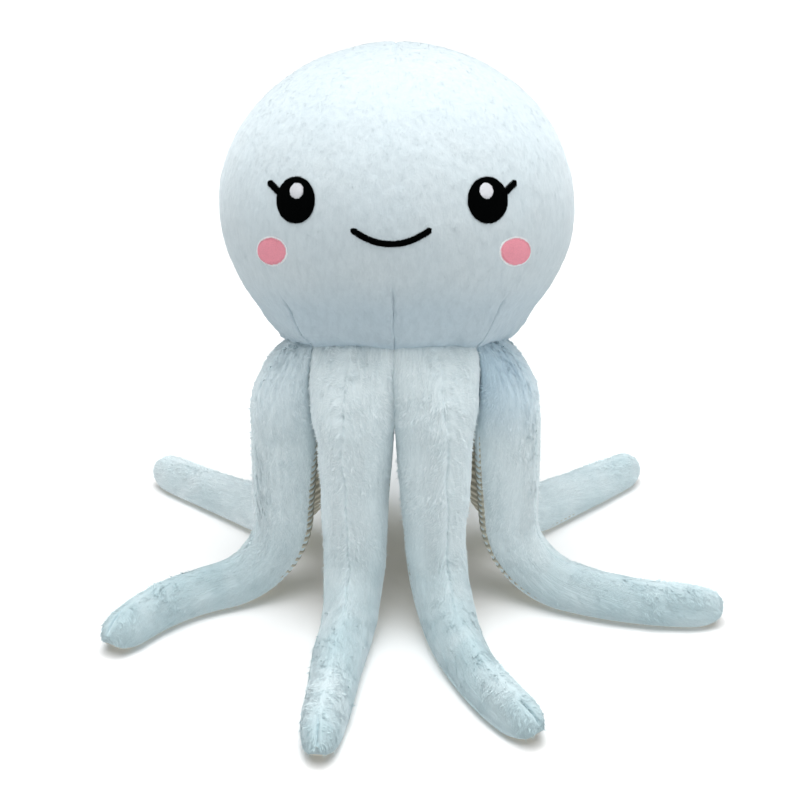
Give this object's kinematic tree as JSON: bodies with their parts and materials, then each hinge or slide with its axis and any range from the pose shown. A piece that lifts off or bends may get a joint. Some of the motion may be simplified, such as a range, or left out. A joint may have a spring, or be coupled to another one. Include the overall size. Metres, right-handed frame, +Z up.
{
  "type": "plush octopus",
  "caption": "Soft stuffed octopus with a round tilted head, a stitched smiling face, and arms of plush with ribbed soles that hang from the neck and spread along the floor.",
  "frame": {"origin": "on the floor, under the middle of the footprint that the arms cover", "axes": "+Z up, the face looks towards -Y, +X to the viewer's right"},
  "size_m": [0.289, 0.3204, 0.2541],
  "materials": {
    "pale_blue_plush": "short-pile plush",
    "cream_ribbed_fabric": "cotton corduroy with fine ribs across the arm",
    "white_stuffing": "loose polyester fibre",
    "black_thread": "satin-stitched thread",
    "white_thread": "satin-stitched thread",
    "pink_thread": "satin-stitched thread"
  },
  "bodies": {
    "head": {"base_panel": "cream_ribbed_fabric", "cheek_left": "pink_thread", "cheek_right": "pink_thread", "eye_left": "black_thread", "eye_right": "black_thread", "head_back_panel": "pale_blue_plush", "head_front_panel": "pale_blue_plush", "head_stuffing": "white_stuffing", "highlight_left": "white_thread", "highlight_right": "white_thread", "smile": "black_thread"},
    "arm_1_root": {"arm_1_root_skin": "pale_blue_plush", "arm_1_root_sole": "cream_ribbed_fabric", "arm_1_root_stuffing": "white_stuffing"},
    "arm_1_tip": {"arm_1_tip_skin": "pale_blue_plush", "arm_1_tip_sole": "cream_ribbed_fabric", "arm_1_tip_stuffing": "white_stuffing"},
    "arm_2_root": {"arm_2_root_skin": "pale_blue_plush", "arm_2_root_sole": "cream_ribbed_fabric", "arm_2_root_stuffing": "white_stuffing"},
    "arm_2_tip": {"arm_2_tip_skin": "pale_blue_plush", "arm_2_tip_sole": "cream_ribbed_fabric", "arm_2_tip_stuffing": "white_stuffing"},
    "arm_3_root": {"arm_3_root_skin": "pale_blue_plush", "arm_3_root_sole": "cream_ribbed_fabric", "arm_3_root_stuffing": "white_stuffing"},
    "arm_3_tip": {"arm_3_tip_skin": "pale_blue_plush", "arm_3_tip_sole": "cream_ribbed_fabric", "arm_3_tip_stuffing": "white_stuffing"},
    "arm_4_root": {"arm_4_root_skin": "pale_blue_plush", "arm_4_root_sole": "cream_ribbed_fabric", "arm_4_root_stuffing": "white_stuffing"},
    "arm_4_tip": {"arm_4_tip_skin": "pale_blue_plush", "arm_4_tip_sole": "cream_ribbed_fabric", "arm_4_tip_stuffing": "white_stuffing"},
    "arm_5_root": {"arm_5_root_skin": "pale_blue_plush", "arm_5_root_sole": "cream_ribbed_fabric", "arm_5_root_stuffing": "white_stuffing"},
    "arm_5_tip": {"arm_5_tip_skin": "pale_blue_plush", "arm_5_tip_sole": "cream_ribbed_fabric", "arm_5_tip_stuffing": "white_stuffing"},
    "arm_6_root": {"arm_6_root_skin": "pale_blue_plush", "arm_6_root_sole": "cream_ribbed_fabric", "arm_6_root_stuffing": "white_stuffing"},
    "arm_6_tip": {"arm_6_tip_skin": "pale_blue_plush", "arm_6_tip_sole": "cream_ribbed_fabric", "arm_6_tip_stuffing": "white_stuffing"},
    "arm_7_root": {"arm_7_root_skin": "pale_blue_plush", "arm_7_root_sole": "cream_ribbed_fabric", "arm_7_root_stuffing": "white_stuffing"},
    "arm_7_tip": {"arm_7_tip_skin": "pale_blue_plush", "arm_7_tip_sole": "cream_ribbed_fabric", "arm_7_tip_stuffing": "white_stuffing"},
    "arm_8_root": {"arm_8_root_skin": "pale_blue_plush", "arm_8_root_sole": "cream_ribbed_fabric", "arm_8_root_stuffing": "white_stuffing"},
    "arm_8_tip": {"arm_8_tip_skin": "pale_blue_plush", "arm_8_tip_sole": "cream_ribbed_fabric", "arm_8_tip_stuffing": "white_stuffing"}
  },
  "joints": [
    {"name": "arm_1_swing", "type": "hinge", "parent": "head", "child": "arm_1_root", "pos_m": [0.00917, -0.04352, 0.13607], "axis": [-0.9239, -0.3596, 0.1309], "range_deg": [-2, 60]},
    {"name": "arm_1_curl", "type": "hinge", "parent": "arm_1_root", "child": "arm_1_tip", "pos_m": [0.02224, -0.0934, 0.02042], "axis": [-0.9498, -0.3127, 0], "range_deg": [0, 60]},
    {"name": "arm_2_swing", "type": "hinge", "parent": "head", "child": "arm_2_root", "pos_m": [0.03435, -0.01987, 0.12746], "axis": [-0.3827, -0.8682, 0.316], "range_deg": [-4, 50]},
    {"name": "arm_2_curl", "type": "hinge", "parent": "arm_2_root", "child": "arm_2_tip", "pos_m": [0.08147, -0.04671, 0.02074], "axis": [-0.3818, -0.9243, 0], "range_deg": [0, 60]},
    {"name": "arm_3_swing", "type": "hinge", "parent": "head", "child": "arm_3_root", "pos_m": [0.03435, 0.01359, 0.11528], "axis": [0.3827, -0.8682, 0.316], "range_deg": [-4, 50]},
    {"name": "arm_3_curl", "type": "hinge", "parent": "arm_3_root", "child": "arm_3_tip", "pos_m": [0.07003, 0.03409, 0.02134], "axis": [0.6337, -0.7736, 0], "range_deg": [0, 60]},
    {"name": "arm_4_swing", "type": "hinge", "parent": "head", "child": "arm_4_root", "pos_m": [0.00917, 0.03724, 0.10667], "axis": [0.9239, -0.3596, 0.1309], "range_deg": [-4, 50]},
    {"name": "arm_4_curl", "type": "hinge", "parent": "arm_4_root", "child": "arm_4_tip", "pos_m": [0.02241, 0.07641, 0.02293], "axis": [0.963, -0.2694, 0], "range_deg": [0, 60]},
    {"name": "arm_5_swing", "type": "hinge", "parent": "head", "child": "arm_5_root", "pos_m": [-0.02643, 0.03724, 0.10667], "axis": [0.9239, 0.3596, -0.1309], "range_deg": [-4, 50]},
    {"name": "arm_5_curl", "type": "hinge", "parent": "arm_5_root", "child": "arm_5_tip", "pos_m": [-0.03966, 0.07641, 0.02293], "axis": [0.963, 0.2694, 0], "range_deg": [0, 60]},
    {"name": "arm_6_swing", "type": "hinge", "parent": "head", "child": "arm_6_root", "pos_m": [-0.0516, 0.01359, 0.11528], "axis": [0.3827, 0.8682, -0.316], "range_deg": [-4, 50]},
    {"name": "arm_6_curl", "type": "hinge", "parent": "arm_6_root", "child": "arm_6_tip", "pos_m": [-0.08848, 0.03255, 0.02134], "axis": [0.5878, 0.809, 0], "range_deg": [0, 60]},
    {"name": "arm_7_swing", "type": "hinge", "parent": "head", "child": "arm_7_root", "pos_m": [-0.0516, -0.01987, 0.12746], "axis": [-0.3827, 0.8682, -0.316], "range_deg": [-4, 50]},
    {"name": "arm_7_curl", "type": "hinge", "parent": "arm_7_root", "child": "arm_7_tip", "pos_m": [-0.0989, -0.04635, 0.02037], "axis": [-0.4657, 0.8849, 0], "range_deg": [0, 60]},
    {"name": "arm_8_swing", "type": "hinge", "parent": "head", "child": "arm_8_root", "pos_m": [-0.02643, -0.04352, 0.13607], "axis": [-0.9239, 0.3596, -0.1309], "range_deg": [-2, 60]},
    {"name": "arm_8_curl", "type": "hinge", "parent": "arm_8_root", "child": "arm_8_tip", "pos_m": [-0.03285, -0.09478, 0.02065], "axis": [-0.9932, 0.1161, 0], "range_deg": [0, 60]}
  ]
}
